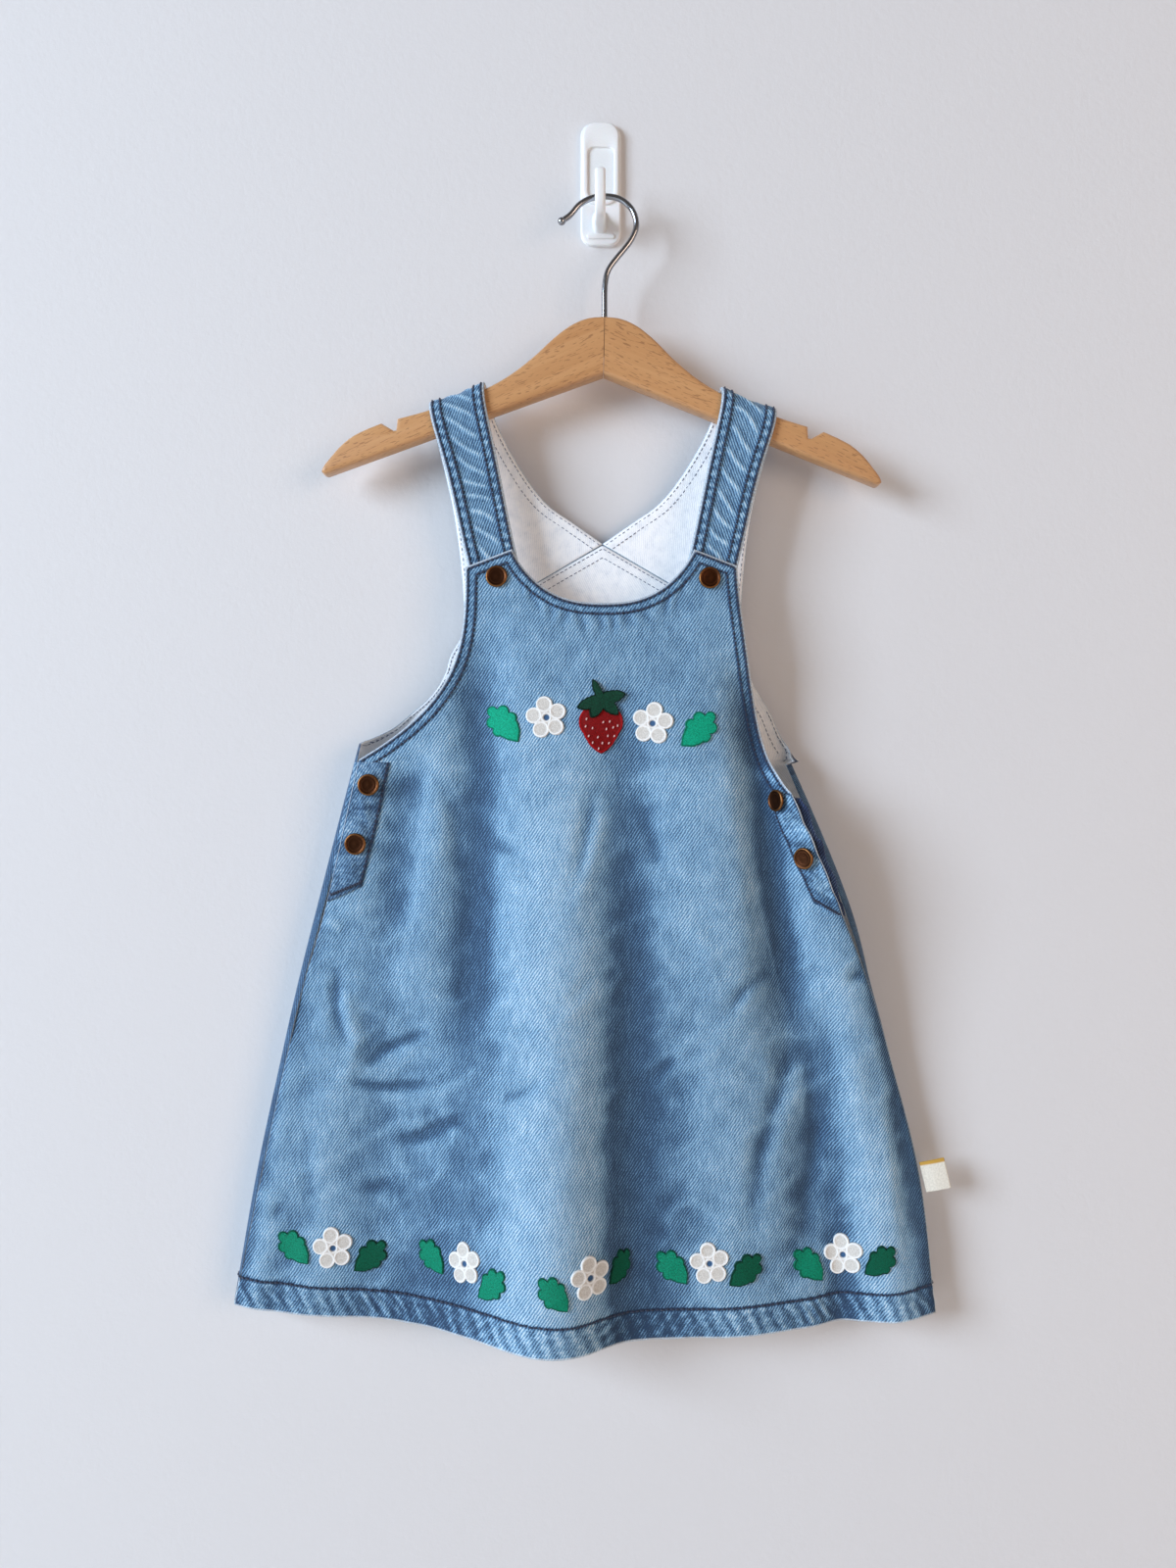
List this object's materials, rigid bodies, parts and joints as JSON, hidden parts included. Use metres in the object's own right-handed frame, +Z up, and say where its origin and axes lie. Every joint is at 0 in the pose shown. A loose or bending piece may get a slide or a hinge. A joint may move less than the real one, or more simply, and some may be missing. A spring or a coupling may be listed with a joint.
{
  "type": "pinafore dress on hanger and wall hook",
  "caption": "Small child's A-line denim pinafore dress with snap-fastened bib and side slits, embroidered front, on a wooden hanger with a wire hook that hangs on a moulded wall hook.",
  "frame": {"origin": "middle of the wall hook's flat back, where it meets the wall", "axes": "+Z up; +X the viewer's right, along the hanger; +Y into the wall, so the dress's front faces -Y"},
  "size_m": [0.4261, 0.0615, 0.7274],
  "materials": {
    "denim": "light washed indigo twill with pale flecks",
    "slit_denim": "light washed indigo twill, shaded",
    "white_thread": "satin-stitched embroidery thread",
    "green_thread": "satin-stitched embroidery thread",
    "dark_green_thread": "satin-stitched embroidery thread",
    "red_thread": "satin-stitched embroidery thread",
    "snap_copper": "pressed cap, antique copper plated",
    "cotton_tape": "blank woven tape",
    "beech": "clear lacquered",
    "chrome_wire": "polished",
    "white_plastic": "moulded, satin"
  },
  "bodies": {
    "root": {"front_panel": "denim", "back_panel": "denim", "strap_left": "denim", "strap_right": "denim", "slit_strip_left": "slit_denim", "slit_strip_right": "slit_denim", "back_underlap_left": "slit_denim", "back_underlap_right": "slit_denim", "snap_bib_left": "snap_copper", "snap_bib_right": "snap_copper", "snap_slit_left_top": "snap_copper", "snap_slit_left_low": "snap_copper", "snap_slit_right_top": "snap_copper", "snap_slit_right_low": "snap_copper", "side_seam_tape": "cotton_tape", "chest_leaf_left": "green_thread", "chest_flower_left": "white_thread", "chest_strawberry": "red_thread", "chest_calyx": "dark_green_thread", "chest_flower_right": "white_thread", "chest_leaf_right": "green_thread", "hem_sprig_1_flower": "white_thread", "hem_sprig_1_leaf_left": "green_thread", "hem_sprig_1_leaf_right": "green_thread", "hem_sprig_2_flower": "white_thread", "hem_sprig_2_leaf_left": "green_thread", "hem_sprig_2_leaf_right": "green_thread", "hem_sprig_3_flower": "white_thread", "hem_sprig_3_leaf_left": "green_thread", "hem_sprig_3_leaf_right": "green_thread", "hem_sprig_4_flower": "white_thread", "hem_sprig_4_leaf_left": "green_thread", "hem_sprig_4_leaf_right": "green_thread", "hem_sprig_5_flower": "white_thread", "hem_sprig_5_leaf_left": "green_thread", "hem_sprig_5_leaf_right": "green_thread", "hanger_arm_left": "beech", "hanger_arm_right": "beech", "hanger_hook": "chrome_wire", "wall_hook_plate": "white_plastic", "wall_hook_prong": "white_plastic"}
  },
  "joints": []
}
